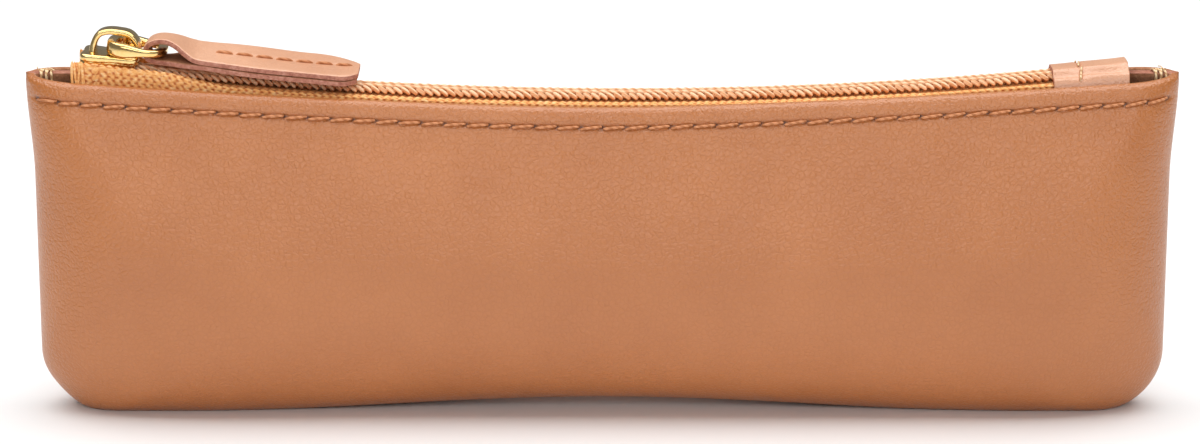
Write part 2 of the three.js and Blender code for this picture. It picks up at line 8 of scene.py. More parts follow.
import bmesh
import bpy
import numpy as np
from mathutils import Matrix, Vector


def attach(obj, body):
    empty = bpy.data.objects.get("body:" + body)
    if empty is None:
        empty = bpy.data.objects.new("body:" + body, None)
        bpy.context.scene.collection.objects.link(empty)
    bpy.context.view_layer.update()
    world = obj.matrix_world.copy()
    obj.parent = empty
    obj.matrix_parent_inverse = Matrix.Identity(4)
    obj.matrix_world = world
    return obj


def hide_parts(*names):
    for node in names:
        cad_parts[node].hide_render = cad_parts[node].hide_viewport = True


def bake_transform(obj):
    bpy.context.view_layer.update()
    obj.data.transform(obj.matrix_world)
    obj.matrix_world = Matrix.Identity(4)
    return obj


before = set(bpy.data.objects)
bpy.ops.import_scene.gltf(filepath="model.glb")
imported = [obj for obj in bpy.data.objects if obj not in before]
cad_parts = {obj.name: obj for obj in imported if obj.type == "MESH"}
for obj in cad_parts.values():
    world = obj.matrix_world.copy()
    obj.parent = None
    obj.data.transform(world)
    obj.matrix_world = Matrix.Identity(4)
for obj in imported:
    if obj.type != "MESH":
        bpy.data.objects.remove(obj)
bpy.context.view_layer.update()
MM = 0.001

# ---------- driving dimensions: the frame's, with a little more hem sag and a fuller bottom ----------

HALF_LENGTH = 94.0
MOUTH_FLARE = 1.0
END_HEIGHT = 57.0
HEM_SAG = 4.6
CORNER_RADIUS = 11.0
SEAM_LIFT = 2.6
SEAM_DROP = 0.9
REST_START = 72.0
HALF_SWELL = 14.35
HALF_MOUTH = 7.25
EDGE_ROUNDING = 21.0
MOUTH_ROUNDING = 9.0
HALF_SEAM_GAP = 0.15
LEATHER = 1.1
HEM_LEATHER = 1.9
HEM_DEPTH = 6.0
ALLOWANCE = 8.4

ZIP_RADIUS = 750.0
ZIP_CENTRE_X = 4.0
ZIP_LOW = 52.3
ZIP_LEFT = -86.2
ZIP_RIGHT = 86.2
TAPE = 0.5
TAPE_SEWN = 5.2
COIL_PITCH = 1.25
COIL_HEIGHT = 1.35
COIL_OUTER = 2.1
COIL_START = -81.8
COIL_END = 84.5
TAB_INSIDE = 75.0                # the chain stitch is cut a little inside the end tab
OPEN_FROM = 47.0                 # up to here an opened zip turns out fully
SHUT_FROM = 59.5                 # and from here on it stays closed
BLEND_HEIGHT = 55.0              # any height does: the opening doesn't change with it
SLIDER_X = -80.9

PLATE_TOP = 3.2
BRIDGE_WIDTH = 3.4
RING_HEIGHT = 4.5
RING_BACK = -0.2
RING_TIP = 8.1
RING_HALF_WIDTH = 4.25
STRAP = 0.9
STRAP_NECK = 5.9
STRAP_WIDTH = 11.6
STRAP_ROLL = math.radians(6)
STRAP_END = 40.9

HEM_STITCH = 3.7
HEM_STITCH_DROP = 3.0
THREAD_RADIUS = 0.22

SIDES = (("front", -1), ("back", 1))
SKIN, FLESH_SIDE, RAW_EDGE = 0, 1, 2      # materials of a panel, in order
STRIP_TOP, STRIP_EDGE, STRIP_UNDERSIDE = 0, 1, 2      # and of a strip


# ---------- shape of the case ----------

def smoothstep(x, low, high):
    share = np.clip((x - low) / (high - low), 0, 1)
    return share * share * (3 - 2 * share)


def lerp(a, b, share):
    return a + (b - a) * share


def hem_top(x):
    share = np.minimum(np.abs(x) / (HALF_LENGTH + MOUTH_FLARE), 1)
    return END_HEIGHT - HEM_SAG * (1 - share ** 1.5)


def seam_bottom(x):
    share = np.minimum(np.abs(x) / REST_START, 1)
    return SEAM_LIFT * np.cos(share * math.pi / 2) ** 2 - SEAM_DROP


def seam_side(z):
    return HALF_LENGTH + MOUTH_FLARE * smoothstep(z, END_HEIGHT - 17, END_HEIGHT)


def seam_depth(x, z):
    """Distance inside the sewn outline, whose corner radius grows with depth."""
    from_side = seam_side(z) - np.abs(x)
    from_bottom = z - seam_bottom(x)
    low = np.zeros(np.broadcast(x, z).shape)
    high = np.maximum(np.minimum(from_side, from_bottom), 0)
    for _ in range(26):
        depth = (low + high) / 2
        radius = CORNER_RADIUS + 0.8 * depth
        side = np.maximum(depth + radius - from_side, 0)
        bottom = np.maximum(depth + radius - from_bottom, 0)
        outside = np.hypot(side, bottom) > radius
        high = np.where(outside, depth, high)
        low = np.where(outside, low, depth)
    return low


def skin(x, z):
    """Outer face of a panel, measured from the middle plane."""
    closing = np.clip(z / hem_top(x) - 0.5, 0, 0.5) / 0.5
    swell = lerp(HALF_SWELL, HALF_MOUTH, closing ** 1.5)
    rounding = lerp(EDGE_ROUNDING, MOUTH_ROUNDING, smoothstep(z, 28, END_HEIGHT - 2))
    edge = 1 - np.minimum(seam_depth(x, z) / rounding, 1)
    return HALF_SEAM_GAP + swell * np.sqrt(np.maximum(1 - edge * edge, 0))


def skin_normal(x, z):
    reach = 0.05
    slope_x = (skin(x + reach, z) - skin(x - reach, z)) / (2 * reach)
    slope_z = (skin(x, z + reach) - skin(x, z - reach)) / (2 * reach)
    normal = np.stack([-slope_x, np.ones_like(slope_x), -slope_z], axis=-1)
    return normal / np.linalg.norm(normal, axis=-1, keepdims=True)


def zip_path(x):
    return ZIP_LOW + ZIP_RADIUS - np.sqrt(ZIP_RADIUS ** 2 - (x - ZIP_CENTRE_X) ** 2)


# ---------- mesh helpers ----------

class Shape:
    """Vertices and faces of one piece, gathered part by part, in millimetres."""

    def __init__(self):
        self.vertices = []
        self.faces = []
        self.looks = []
        # shade holds painted shade: a darkening of the colour at each vertex, for the materials to read
        self.shade = []              # darkening of each vertex, where a part has hollows of its own
        self.count = 0

    def add(self, vertices, faces, look=0):
        vertices = np.asarray(vertices, float).reshape(-1, 3)
        start = self.count
        self.vertices.append(vertices)
        self.faces += [tuple(int(i) + start for i in face) for face in faces]
        self.looks += [look] * len(faces)
        self.count += len(vertices)
        return start

    def add_face(self, face, look):
        self.faces.append(face)
        self.looks.append(look)

    def add_rings(self, rings, look=0):
        """A closed body through rings of equally many points, with a flat face at each end."""
        count, sides = rings.shape[:2]
        start = self.add(rings, grid_faces(count, sides, loop=True), look)
        last = start + (count - 1) * sides
        self.add_face(tuple(range(start + sides - 1, start - 1, -1)), look)
        self.add_face(tuple(range(last, last + sides)), look)

    def points(self):
        return np.concatenate(self.vertices)


def grid_faces(rows, columns, start=0, flip=False, loop=False):
    """Quads of a grid of rows x columns vertices. With loop, each row closes on itself."""
    faces = []
    across = columns if loop else columns - 1
    for row in range(rows - 1):
        for column in range(across):
            a = start + row * columns + column
            b = start + row * columns + (column + 1) % columns
            face = (a, b, b + columns, a + columns)
            faces.append(face[::-1] if flip else face)
    return faces


def solid(name, shape, materials, body, node=None):
    """Makes the piece in metres, gives it its materials and its body."""
    mesh = bpy.data.meshes.new(name)
    mesh.from_pydata((shape.points() * MM).tolist(), [], shape.faces)
    mesh.update()
    for material in materials:
        mesh.materials.append(material)
    mesh.polygons.foreach_set("material_index", shape.looks)
    mesh.polygons.foreach_set("use_smooth", [True] * len(mesh.polygons))
    if len(shape.shade):
        # the painted shade goes to the materials as a vertex attribute
        layer = mesh.attributes.new("painted_shade", "FLOAT", "POINT")
        layer.data.foreach_set("value", np.asarray(shape.shade, np.float32))
    piece = bpy.data.objects.new(name, mesh)
    bpy.context.scene.collection.objects.link(piece)
    turn_out(mesh)
    if body:
        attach(piece, body)
    if node:
        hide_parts(*([node] if isinstance(node, str) else node))
    return piece


def turn_out(mesh):
    work = bmesh.new()
    work.from_mesh(mesh)
    bmesh.ops.recalc_face_normals(work, faces=work.faces)
    work.to_mesh(mesh)
    work.free()


def add_tube(shape, points, radii, sides=8, look=0, flat=1.0, up=(0, 0, 1)):
    """A tube with closed ends along a list of points. flat squashes its section along up."""
    points = np.asarray(points, float)
    radii = np.broadcast_to(np.asarray(radii, float), (len(points),))
    along = np.gradient(points, axis=0)
    along /= np.linalg.norm(along, axis=1, keepdims=True)
    up = np.broadcast_to(np.asarray(up, float), along.shape)
    across = np.cross(along, up)
    across /= np.maximum(np.linalg.norm(across, axis=1, keepdims=True), 1e-9)
    lift = np.cross(across, along)
    turn = np.linspace(0, 2 * math.pi, sides, endpoint=False)
    ring = (across[:, None] * np.cos(turn)[None, :, None]
            + lift[:, None] * (flat * np.sin(turn))[None, :, None])
    shape.add_rings(points[:, None] + ring * radii[:, None, None], look)


def line_normals(line):
    """Unit vectors at right angles to a line in a plane, and the distance between its points."""
    along = np.gradient(line, axis=0)
    step = np.linalg.norm(along, axis=1)
    return np.stack([-along[:, 1], along[:, 0]], axis=1) / step[:, None], step


def rounded_wave(value, power):
    """A sine or cosine flattened at its ends, for sections with flat sides and rounded corners."""
    return np.sign(value) * np.abs(value) ** power


def taper(count, share=0.2):
    """Radii that round a tube off at both ends."""
    place = np.linspace(0, 1, count)
    edge = np.clip(np.minimum(place, 1 - place) / share, 0, 1)
    return np.sqrt(1 - (1 - edge) ** 2) * 0.9 + 0.1


def resample(points, count):
    """A smooth curve through the points, as count evenly spaced points."""
    points = np.asarray(points, float)
    before = 2 * points[:1] - points[1:2]
    after = 2 * points[-1:] - points[-2:-1]
    padded = np.concatenate([before, points, after])
    pieces = []
    for i in range(1, len(padded) - 2):
        p0, p1, p2, p3 = padded[i - 1:i + 3]
        t = np.linspace(0, 1, 24, endpoint=i == len(padded) - 3)[:, None]
        pieces.append(0.5 * (2 * p1 + (p2 - p0) * t + (2 * p0 - 5 * p1 + 4 * p2 - p3) * t * t
                             + (3 * p1 - p0 - 3 * p2 + p3) * t ** 3))
    curve = np.concatenate(pieces)
    step = np.concatenate([[0], np.cumsum(np.linalg.norm(np.diff(curve, axis=0), axis=1))])
    even = np.linspace(0, step[-1], count)
    return np.stack([np.interp(even, step, curve[:, k]) for k in range(points.shape[1])], axis=1)


def ripple(x, z, seed=0):
    """Slow, uneven swelling of the leather, between about -1 and 1."""
    waves = [(0.045, 0.05, 0.4), (0.08, -0.11, 1.9), (0.15, 0.09, 3.1), (0.23, -0.2, 5.3)]
    total = 0
    for i, (kx, kz, phase) in enumerate(waves):
        total = total + np.sin(kx * x + kz * z + phase + seed * (i + 1)) / (i + 1.5)
    return total


# ---------- materials ----------

WHITE = (1, 1, 1)
BLACK = (0, 0, 0)


class Look:
    """A node material with a Principled shader, and short calls to wire textures into it."""

    def __init__(self, name, roughness, metallic=0.0, specular=0.5):
        self.material = bpy.data.materials.new(name)
        self.material.use_nodes = True
        self.tree = self.material.node_tree
        self.shader = self.tree.nodes["Principled BSDF"]
        self.shader.inputs["Roughness"].default_value = roughness
        self.shader.inputs["Metallic"].default_value = metallic
        self.shader.inputs["Specular IOR Level"].default_value = specular
        self.place = self.node("ShaderNodeTexCoord").outputs["Object"]

    def node(self, kind, **values):
        node = self.tree.nodes.new(kind)
        for key, value in values.items():
            setattr(node, key, value)
        return node

    def link(self, source, target):
        self.tree.links.new(source, target)

    def stretched(self, scale):
        mapping = self.node("ShaderNodeMapping")
        mapping.inputs["Scale"].default_value = scale
        self.link(self.place, mapping.inputs["Vector"])
        return mapping.outputs["Vector"]

    def noise(self, scale, detail=3.0, vector=None, roughness=0.5):
        node = self.node("ShaderNodeTexNoise")
        node.inputs["Scale"].default_value = scale
        node.inputs["Detail"].default_value = detail
        node.inputs["Roughness"].default_value = roughness
        self.link(vector or self.place, node.inputs["Vector"])
        return node.outputs["Fac"]

    def cells(self, scale):
        """Distance to the nearest border of an irregular net of cells."""
        node = self.node("ShaderNodeTexVoronoi", feature="DISTANCE_TO_EDGE")
        node.inputs["Scale"].default_value = scale
        self.link(self.place, node.inputs["Vector"])
        return node.outputs["Distance"]

    def bands(self, scale, direction, distortion):
        node = self.node("ShaderNodeTexWave", bands_direction=direction)
        node.inputs["Scale"].default_value = scale
        node.inputs["Distortion"].default_value = distortion
        self.link(self.place, node.inputs["Vector"])
        return node.outputs["Fac"]

    def ramp(self, value, stops):
        node = self.node("ShaderNodeValToRGB")
        ramp = node.color_ramp
        while len(ramp.elements) < len(stops):
            ramp.elements.new(0.5)
        for element, (place, color) in zip(ramp.elements, stops):
            element.position = place
            element.color = (*color, 1)
        self.link(value, node.inputs["Fac"])
        return node.outputs["Color"]

    def multiply(self, a, b, share=1.0):
        node = self.node("ShaderNodeMix", data_type="RGBA", blend_type="MULTIPLY")
        self.link(a, node.inputs["A"])
        self.link(b, node.inputs["B"])
        node.inputs["Factor"].default_value = share
        return node.outputs["Result"]

    def hollows(self, darkest):
        """Painted shade from the mesh's own hollows: white, and darkest where they are deepest."""
        return self.ramp(self.attribute("painted_shade"), [(0.0, WHITE), (1.0, darkest)])

    def scaled(self, value, low, high):
        node = self.node("ShaderNodeMapRange")
        node.inputs["To Min"].default_value = low
        node.inputs["To Max"].default_value = high
        self.link(value, node.inputs["Value"])
        return node.outputs["Result"]

    def attribute(self, name):
        return self.node("ShaderNodeAttribute", attribute_name=name).outputs["Fac"]

    def bump(self, *layers):
        """layers are (height socket, distance in millimetres)."""
        last = None
        for height, distance in layers:
            node = self.node("ShaderNodeBump")
            node.inputs["Distance"].default_value = distance * MM
            self.link(height, node.inputs["Height"])
            if last:
                self.link(last, node.inputs["Normal"])
            last = node.outputs["Normal"]
        self.link(last, self.shader.inputs["Normal"])

    def color(self, socket):
        self.link(socket, self.shader.inputs["Base Color"])

    def roughness(self, socket):
        self.link(socket, self.shader.inputs["Roughness"])


def leather_look(name, dark, middle, light, grain=1.0):
    look = Look(name, 0.36, specular=0.8)
    broad = look.noise(55, 4)
    tone = look.ramp(broad, [(0.3, dark), (0.5, middle), (0.72, light)])
    pores = look.cells(1150)
    pore_tone = look.ramp(pores, [(0.0, tuple(c * 0.8 for c in middle)), (0.16, WHITE)])
    toned = look.multiply(tone, pore_tone, 0.07)
    # painted shade: the colour darkens in the needle holes of the hem stitching
    look.color(look.multiply(toned, look.hollows((0.10, 0.03, 0.01))))
    look.roughness(look.scaled(look.noise(700, 3), 0.27, 0.39))
    pebble = look.ramp(pores, [(0.0, BLACK), (0.22, WHITE)])
    broad_grain = (look.noise(420, 4), 0.12 * grain)
    fine_grain = (look.noise(2000, 3), 0.14 * grain)
    look.bump(broad_grain, (pebble, 0.045 * grain), fine_grain)
    return look.material


def edge_look():
    look = Look("raw_leather_edge", 0.85, specular=0.2)
    fibre = look.noise(1500, 5, roughness=0.7)
    stops = [(0.3, (0.30, 0.10, 0.07)), (0.5, (0.46, 0.19, 0.13)), (0.7, (0.62, 0.32, 0.24))]
    look.color(look.ramp(fibre, stops))
    look.bump((fibre, 0.18), (look.noise(4200, 3), 0.06))
    return look.material


def suede_look():
    look = Look("flesh_side", 0.9, specular=0.15)
    nap = look.noise(1800, 5, roughness=0.7)
    stops = [(0.3, (0.28, 0.11, 0.05)), (0.55, (0.42, 0.19, 0.10)), (0.75, (0.54, 0.28, 0.16))]
    look.color(look.ramp(nap, stops))
    look.bump((nap, 0.16))
    return look.material


def thread_look(name, dark, light):
    look = Look(name, 0.62, specular=0.3)
    twist = look.bands(420, "DIAGONAL", 0.6)
    look.color(look.ramp(twist, [(0.15, dark), (0.7, light)]))
    look.bump((twist, 0.025), (look.noise(5200, 3), 0.03))
    return look.material


def tape_look():
    look = Look("knitted_tape", 0.75, specular=0.25)
    fibre = look.noise(2600, 4, look.stretched((0.5, 1.0, 1.0)))
    stops = [(0.3, (0.78, 0.33, 0.10)), (0.5, (0.90, 0.46, 0.16)), (0.72, (0.96, 0.64, 0.33))]
    yarn = look.ramp(fibre, stops)
    # painted shade: the colour darkens in the gaps between the knitted loops
    look.color(look.multiply(yarn, look.hollows((0.55, 0.24, 0.13))))
    look.bump((fibre, 0.06), (look.noise(6000, 2), 0.02))
    return look.material


def coil_look():
    look = Look("coil_nylon", 0.35, specular=0.5)
    look.color(look.ramp(look.noise(900, 3), [(0.3, (0.52, 0.19, 0.07)), (0.7, (0.70, 0.30, 0.12))]))
    look.bump((look.noise(2600, 2), 0.03))
    return look.material


def brass_look():
    look = Look("polished_brass", 0.14, metallic=1.0)
    haze = look.noise(500, 4)
    look.color(look.ramp(haze, [(0.3, (0.84, 0.56, 0.20)), (0.7, (0.95, 0.71, 0.33))]))
    look.roughness(look.scaled(look.noise(1600, 4), 0.08, 0.24))
    look.bump((look.noise(1400, 3), 0.012))
    return look.material


PANEL_TONES = ((0.455, 0.148, 0.034), (0.48, 0.16, 0.038), (0.51, 0.175, 0.045))
TRIM_TONES = ((0.62, 0.30, 0.17), (0.70, 0.36, 0.21), (0.77, 0.43, 0.27))

PANEL = leather_look("panel_leather", *PANEL_TONES)
TRIM = leather_look("trim_leather", *TRIM_TONES, grain=0.6)
EDGE = edge_look()
FLESH = suede_look()
THREAD = thread_look("tan_thread", (0.46, 0.17, 0.065), (0.64, 0.28, 0.13))
PALE_THREAD = thread_look("pale_thread", (0.55, 0.32, 0.15), (0.88, 0.66, 0.40))
TAPE_CLOTH = tape_look()
CHAIN = thread_look("chain_thread", (0.74, 0.36, 0.17), (0.95, 0.66, 0.42))
COIL = coil_look()
BRASS = brass_look()


# ---------- leather panels ----------

PANEL_COLUMNS = 420
LOWER_ROWS = 74
HEM_ROWS = 34
TOP_ROWS = 7
FOLD_RADIUS = 0.85


def panel_rows():
    """Row places as (share of the lower part, drop below the hem top), from the bottom seam to the fold."""
    low = np.linspace(0, 1, LOWER_ROWS) ** 1.35
    lower = [(share, None) for share in low]
    drops = np.linspace(HEM_DEPTH - 0.25, FOLD_RADIUS, HEM_ROWS)
    hem = [(None, drop) for drop in drops]
    turn = np.linspace(0, math.pi / 2, TOP_ROWS)[1:]
    fold = [(None, FOLD_RADIUS * (1 - math.sin(angle))) for angle in turn]
    return lower + hem + fold


def row_height(x, row):
    share, drop = row
    if drop is None:
        return lerp(seam_bottom(x), hem_top(x) - HEM_DEPTH, share)
    return hem_top(x) - drop


def panel_places():
    """In-plane places of the panel's vertices, as arrays of x and z with one line per row."""
    even = np.linspace(-1, 1, PANEL_COLUMNS + 1)
    share = 0.5 * even + 0.5 * np.sin(even * math.pi / 2)
    xs, zs = [], []
    for row in panel_rows():
        x = share * HALF_LENGTH
        for _ in range(4):
            z = row_height(x, row)
            rise = np.maximum(CORNER_RADIUS - (z - seam_bottom(x)), 0)
            inset = CORNER_RADIUS - np.sqrt(np.maximum(CORNER_RADIUS ** 2 - rise ** 2, 0))
            x = share * (seam_side(z) - inset)
        xs.append(x)
        zs.append(row_height(x, row))
    return np.array(xs), np.array(zs)


def inward(x, z):
    """Direction into the case, in the panel's plane, from points on the seam line."""
    from_bottom = z - seam_bottom(x)
    corner_x = HALF_LENGTH - CORNER_RADIUS
    toward_x = corner_x - np.abs(x)
    toward_z = CORNER_RADIUS - from_bottom
    length = np.maximum(np.hypot(toward_x, toward_z), 1e-6)
    is_side = from_bottom >= CORNER_RADIUS
    is_bottom = np.abs(x) <= corner_x
    step_x = np.where(is_side, -1.0, np.where(is_bottom, 0.0, toward_x / length))
    step_z = np.where(is_side, 0.0, np.where(is_bottom, 1.0, toward_z / length))
    return step_x * np.sign(x), step_z


def stitch_places():
    """Hole positions along a hem, from left to right."""
    count = round((2 * HALF_LENGTH - 4) / HEM_STITCH)
    start = -count * HEM_STITCH / 2
    return start + HEM_STITCH * np.arange(count + 1)


def hole_shade(x, drop):
    """1 in the needle holes of the hem stitching, falling to 0 round them; it dents the holes and sets their
    painted shade.
    """
    holes = stitch_places()
    number = np.round((x - holes[0]) / HEM_STITCH).astype(int)
    nearest = holes[np.clip(number, 0, len(holes) - 1)]
    return np.exp(-(((x - nearest) / 0.42) ** 2 + ((drop - HEM_STITCH_DROP) / 0.34) ** 2))


def panel_relief(x, z, side):
    """How far the leather stands out from its smooth shape: swelling, hem, stitch groove and puckers."""
    drop = hem_top(x) - z
    away = smoothstep(seam_depth(x, z), 0, 6)
    slow = 0.22 * ripple(x, z, 0.0 if side < 0 else 2.3) * smoothstep(drop, 4, 14) * away
    phase = 2 * math.pi * (x - stitch_places()[0]) / HEM_STITCH
    groove = -0.2 * np.exp(-((drop - HEM_STITCH_DROP) / 0.42) ** 2)
    hole = -0.32 * hole_shade(x, drop)
    band = 0.1 * np.exp(-((drop - 1.6) / 0.9) ** 2)
    below = np.clip(drop - HEM_STITCH_DROP - 0.4, 0, None)
    pucker = 0.09 * np.exp(-below / 1.6) * np.where(drop > HEM_STITCH_DROP + 0.3, 1, 0)
    uneven = 0.6 + 0.4 * np.sin(0.37 * x + 1.1)
    pucker = pucker * uneven * -np.cos(phase + 0.25 * below)
    fading = np.exp(-np.clip(drop - HEM_DEPTH, 0, None) / 7)
    ledge = -0.1 * smoothstep(drop, HEM_DEPTH - 0.7, HEM_DEPTH + 0.5) * fading
    return slow + (groove + hole + band + pucker + ledge) * away ** 0.5


def corner_dent(x, z):
    """The left bottom corner is slightly pushed in."""
    return 0.55 * np.exp(-(((x + 90.5) / 4.5) ** 2 + ((z - 3.5) / 4.0) ** 2))


def panel_layers(x, z, side):
    """The outer and inner faces of a panel, front side, as grids of points."""
    drop = hem_top(x) - z
    normal = skin_normal(x, np.clip(z, 0.05, None))
    is_hem = drop < HEM_DEPTH - 0.1
    normal[is_hem, 2] = 0
    normal /= np.linalg.norm(normal, axis=-1, keepdims=True)
    above_fold = 1 - np.minimum(drop / FOLD_RADIUS, 1)
    fold = FOLD_RADIUS * (1 - np.sqrt(np.clip(1 - above_fold ** 2, 0, 1)))
    base = np.stack([x, skin(x, z), z], axis=-1)
    outer = base + normal * (panel_relief(x, z, side) - fold)[..., None]
    thickness = np.where(is_hem, HEM_LEATHER, LEATHER)
    inner_fold = np.minimum(fold, FOLD_RADIUS * 0.95)
    inner = base - normal * (thickness - inner_fold * 0.9)[..., None]
    rim = np.zeros(x.shape, bool)
    rim[0] = True
    rim[:, 0] = True
    rim[:, -1] = True
    step_x, step_z = inward(x, z)
    seam_face = np.full_like(x, HALF_SEAM_GAP)
    allowance_back = np.full_like(x, HALF_SEAM_GAP + LEATHER + 0.02)
    outer[rim] = np.stack([x, seam_face, z], axis=-1)[rim]
    inset_x = x + step_x * thickness
    inset_z = z + step_z * thickness
    inner[rim] = np.stack([inset_x, allowance_back, inset_z], axis=-1)[rim]
    dent = corner_dent(x, z)
    for layer in (outer, inner):
        layer[..., 0] += dent * 0.7
        layer[..., 2] += dent * 0.55
    outer[..., 2] = np.maximum(outer[..., 2], 0)
    inner[..., 2] = np.maximum(inner[..., 2], LEATHER)
    return outer, inner


def panel_shape(side):
    x, z = panel_places()
    rows, columns = x.shape
    outer, inner = panel_layers(x, z, side)
    shape = Shape()
    mirror = np.array([1, side, 1])
    shape.add(outer * mirror, grid_faces(rows, columns), SKIN)
    start = shape.add(inner * mirror, [])
    for face in grid_faces(rows, columns, start, flip=True):
        shape.add_face(face, FLESH_SIDE)
    top = (rows - 1) * columns
    for a in range(top, top + columns - 1):
        shape.add_face((a, a + 1, start + a + 1, start + a), SKIN)
    add_allowance(shape, outer, start, rows, columns, side)
    shape.shade = np.zeros(shape.count)
    # painted shade in the needle holes, on the outer face only
    shape.shade[:start] = hole_shade(x, hem_top(x) - z).ravel()
    return shape


def add_allowance(shape, outer, inner_start, rows, columns, side):
    """The seam allowance, folded in along the middle plane from the seam line."""
    loop = [row * columns for row in range(rows - 1, 0, -1)]
    loop += list(range(columns))
    loop += [row * columns + columns - 1 for row in range(1, rows)]
    rim = outer.reshape(-1, 3)[loop]
    step_x, step_z = inward(rim[:, 0], rim[:, 2])
    wander = 0.25 * np.sin(0.31 * np.arange(len(loop)) * 0.7)
    reach = ALLOWANCE + wander
    tip_x = rim[:, 0] + step_x * reach
    tip_z = rim[:, 2] + step_z * reach
    tips = np.stack([tip_x, np.zeros(len(loop)), tip_z], axis=-1)
    face = tips + [0, side * HALF_SEAM_GAP, 0]
    back = tips + [0, side * (HALF_SEAM_GAP + LEATHER), 0]
    face_start = shape.add(face, [])
    back_start = shape.add(back, [])
    for i in range(len(loop) - 1):
        a, b = loop[i], loop[i + 1]
        shape.faces += [
            (a, face_start + i, face_start + i + 1, b),
            (face_start + i, back_start + i, back_start + i + 1, face_start + i + 1),
            (back_start + i, inner_start + a, inner_start + b, back_start + i + 1),
        ]
        shape.looks += [SKIN, RAW_EDGE, FLESH_SIDE]
    for i in (0, len(loop) - 1):
        face = (loop[i], inner_start + loop[i], back_start + i, face_start + i)
        shape.add_face(face, RAW_EDGE)


def make_panels():
    for word, side in SIDES:
        shape = panel_shape(side)
        materials = [PANEL, FLESH, EDGE]
        solid(f"{word}_leather", shape, materials, "case", f"{word}_panel")


# ---------- hem stitching ----------

def surface_point(x, drop, side, lift):
    """A point above a hem, drop millimetres below its top and lift millimetres off the leather."""
    z = hem_top(x) - drop
    normal = skin_normal(x, z)
    base = np.stack([x, skin(x, z), z], axis=-1) + normal * np.asarray(lift)[..., None]
    return base * [1, side, 1]


def make_hem_stitches():
    """Slanted stitches that dive into a hole at each end."""
    rng = np.random.default_rng(4)
    for word, side in SIDES:
        shape = Shape()
        holes = stitch_places()
        for left, right in zip(holes[:-1], holes[1:]):
            if max(abs(left), abs(right)) > HALF_LENGTH - 0.6:
                continue
            share = np.linspace(0.04, 0.96, 13)
            x = lerp(left, right, share)
            slant = 0.42 + 0.06 * rng.standard_normal()
            drop = HEM_STITCH_DROP + slant * (share - 0.5) * side
            lift = 0.06 + 0.14 * np.sin(share * math.pi) ** 0.6 - 0.45 * np.abs(2 * share - 1) ** 6
            points = surface_point(x, drop, side, lift)
            radii = THREAD_RADIUS * (0.85 + 0.15 * np.sin(share * math.pi))
            add_tube(shape, points, radii, 10)
        solid(f"{word}_hem_thread", shape, [THREAD], "case", f"{word}_hem_stitch")


# ---------- zip ----------

def open_from_closed(piece, side, is_end):
    """Works out where an opened zip's tape would turn up from its sewn edge and where it stays shut near the
    end tab; nothing is moved by it, only the piece's transform is baked.
    """
    sewn_y = side * 5.1
    free_y = side * 2.0
    if is_end:
        gain = np.array([-1 / (SHUT_FROM - OPEN_FROM), -1 / (sewn_y - free_y)])
        start = np.array([OPEN_FROM, sewn_y])
        end = start + gain / (gain @ gain)
    else:
        start = np.array([0.0, sewn_y])
        end = np.array([0.0, free_y])
    start = (start[0] * MM, start[1] * MM, BLEND_HEIGHT * MM)
    end = (end[0] * MM, end[1] * MM, BLEND_HEIGHT * MM)
    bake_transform(piece)


def tape_profile(x):
    """Upper face of a tape at one x: from its inner edge over a ridge beside the hem to the sewn edge."""
    top = zip_path(x)
    hem = float(hem_top(x))
    sewn_z = hem - TAPE_SEWN
    clear = HEM_LEATHER + 0.3
    bend_z = min(top, hem) - 0.7
    bend_y = min(float(skin(np.array(x), np.array(bend_z))) - clear, 5.4)
    sewn_y = float(skin(np.array(x), np.array(sewn_z))) - clear
    edge = lerp(1.35, 0.12, float(smoothstep(x, -83.3, -82)))
    covered = float(smoothstep(x, 70, 74))
    bend_y = min(bend_y, lerp(5.4, 4.75, covered))
    beside_slider = float(smoothstep(-x, 60, 74))
    outward = max(beside_slider, float(smoothstep(x, 50, 56)))
    ridge = 0.4 * (1 - covered) + 1.5 * beside_slider
    ridge_y = lerp(3.9, 4.7, outward)
    corners = [
        (edge, top),
        (2.35, top),
        (lerp(3.2, 4.3, outward), top + 0.12 * ridge),
        (min(ridge_y, bend_y - 0.2), top + ridge),
        (min(bend_y - 0.1, 5.15), top + 0.6 * ridge),
        (bend_y, bend_z),
        (sewn_y, sewn_z),
    ]
    return resample(corners, 60)


def knit(x, place):
    """Relief of the knitted tape, in rows of slanted loops that change direction like herringbone."""
    row = place / 0.62
    lean = 0.5 * np.abs((row % 2) - 1)
    loop = np.cos(2 * math.pi * (x / 1.25 + lean))
    valley = np.cos(2 * math.pi * row)
    return 0.085 * loop - 0.045 * valley


def tape_shape(side, left, right):
    count = int((right - left) / 0.17)
    rings = []
    knit_gap_shade = []
    for x in np.linspace(left, right, count):
        profile = tape_profile(x)
        normal, step = line_normals(profile)
        relief = knit(x, np.cumsum(step)) * np.clip((profile[:, 0] - 2.2) / 0.5, 0, 1)
        top = profile + normal * relief[:, None]
        ring = np.concatenate([top, (profile - normal * TAPE)[::-1]])
        ring = np.column_stack([np.full(len(ring), x), side * ring[:, 0], ring[:, 1]])
        rings.append(ring)
        # painted shade in the valleys of the knit, none on the underside
        knit_gap_shade.append(np.concatenate([np.clip(-relief / 0.1, 0, 1), np.zeros(len(top))]))
    shape = Shape()
    shape.shade = np.concatenate(knit_gap_shade)
    columns = len(rings[0])
    start = shape.add(np.array(rings), grid_faces(count, columns, loop=True))
    add_strip_ends(shape, start, count, columns)
    return shape


def add_strip_ends(shape, start, count, columns, look=0):
    """Closes both ends of a strip whose rings go over its top and back along its underside."""
    for first in (start, start + (count - 1) * columns):
        last = first + columns - 1
        for i in range(columns // 2 - 1):
            shape.add_face((first + i, first + i + 1, last - i - 1, last - i), look)


def leather_strip(rings):
    """A strip through rings that go over its top and back along its underside, with raw edges."""
    count, columns = rings.shape[:2]
    inside = columns // 2 - 1
    shape = Shape()
    shape.add(rings, grid_faces(count, columns, loop=True))
    across = [STRIP_TOP] * inside + [STRIP_EDGE] + [STRIP_UNDERSIDE] * inside + [STRIP_EDGE]
    shape.looks = across * (count - 1)
    add_strip_ends(shape, 0, count, columns, STRIP_EDGE)
    return shape


